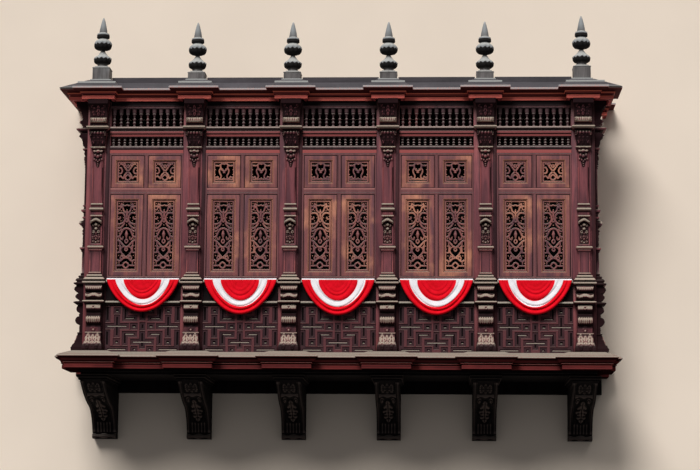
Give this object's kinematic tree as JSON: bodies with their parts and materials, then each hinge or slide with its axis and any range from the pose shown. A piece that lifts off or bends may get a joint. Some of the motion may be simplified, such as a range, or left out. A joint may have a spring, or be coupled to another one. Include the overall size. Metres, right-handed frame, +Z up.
{
  "type": "enclosed wooden balcony with pierced shutters",
  "caption": "Enclosed wooden balcony for a wall, with pierced shutters, turned spindle screens, carved pilasters, corbels, a moulded cornice, finials and cloth bunting.",
  "frame": {"origin": "on the flat back face of the wall plate, on the balcony's centre line, 60 mm under the floor", "axes": "+Y into the wall, +X to the right as seen from in front, +Z up; the front faces -Y"},
  "size_m": [9.28, 2.028, 6.998],
  "materials": {
    "carved_wood": "dark red-brown varnished hardwood, dusty",
    "shutter_wood": "faded pinkish brown varnished hardwood",
    "roof_wood": "grey weathered boards",
    "dark_wood": "near black hardwood",
    "bunting_cloth": "red and white pleated cloth"
  },
  "bodies": {
    "root": {"base_cornice": "carved_wood", "bunting": "bunting_cloth", "ceiling": "carved_wood", "corbel_1": "dark_wood", "corbel_2": "dark_wood", "corbel_3": "dark_wood", "corbel_4": "dark_wood", "corbel_5": "dark_wood", "corbel_6": "dark_wood", "cornice": "carved_wood", "finial_1": "carved_wood", "finial_2": "carved_wood", "finial_3": "carved_wood", "finial_4": "carved_wood", "finial_5": "carved_wood", "finial_6": "carved_wood", "floor_deck": "carved_wood", "parapet_panel_1": "carved_wood", "parapet_panel_2": "carved_wood", "parapet_panel_3": "carved_wood", "parapet_panel_4": "carved_wood", "parapet_panel_5": "carved_wood", "parapet_panel_left": "carved_wood", "parapet_panel_right": "carved_wood", "pilaster_1": "carved_wood", "pilaster_2": "carved_wood", "pilaster_3": "carved_wood", "pilaster_4": "carved_wood", "pilaster_5": "carved_wood", "pilaster_6": "carved_wood", "rear_pilaster_left": "carved_wood", "rear_pilaster_right": "carved_wood", "roof": "roof_wood", "shutters_1": "shutter_wood", "shutters_2": "shutter_wood", "shutters_3": "shutter_wood", "shutters_4": "shutter_wood", "shutters_5": "shutter_wood", "shutters_left": "shutter_wood", "shutters_right": "shutter_wood", "soffit": "dark_wood", "spindle_screen_1": "carved_wood", "spindle_screen_2": "carved_wood", "spindle_screen_3": "carved_wood", "spindle_screen_4": "carved_wood", "spindle_screen_5": "carved_wood", "spindle_screen_left": "carved_wood", "spindle_screen_right": "carved_wood", "wall_plate": "dark_wood", "window_frame_left": "shutter_wood", "window_frame_right": "shutter_wood", "window_frames_front": "shutter_wood"}
  },
  "joints": []
}
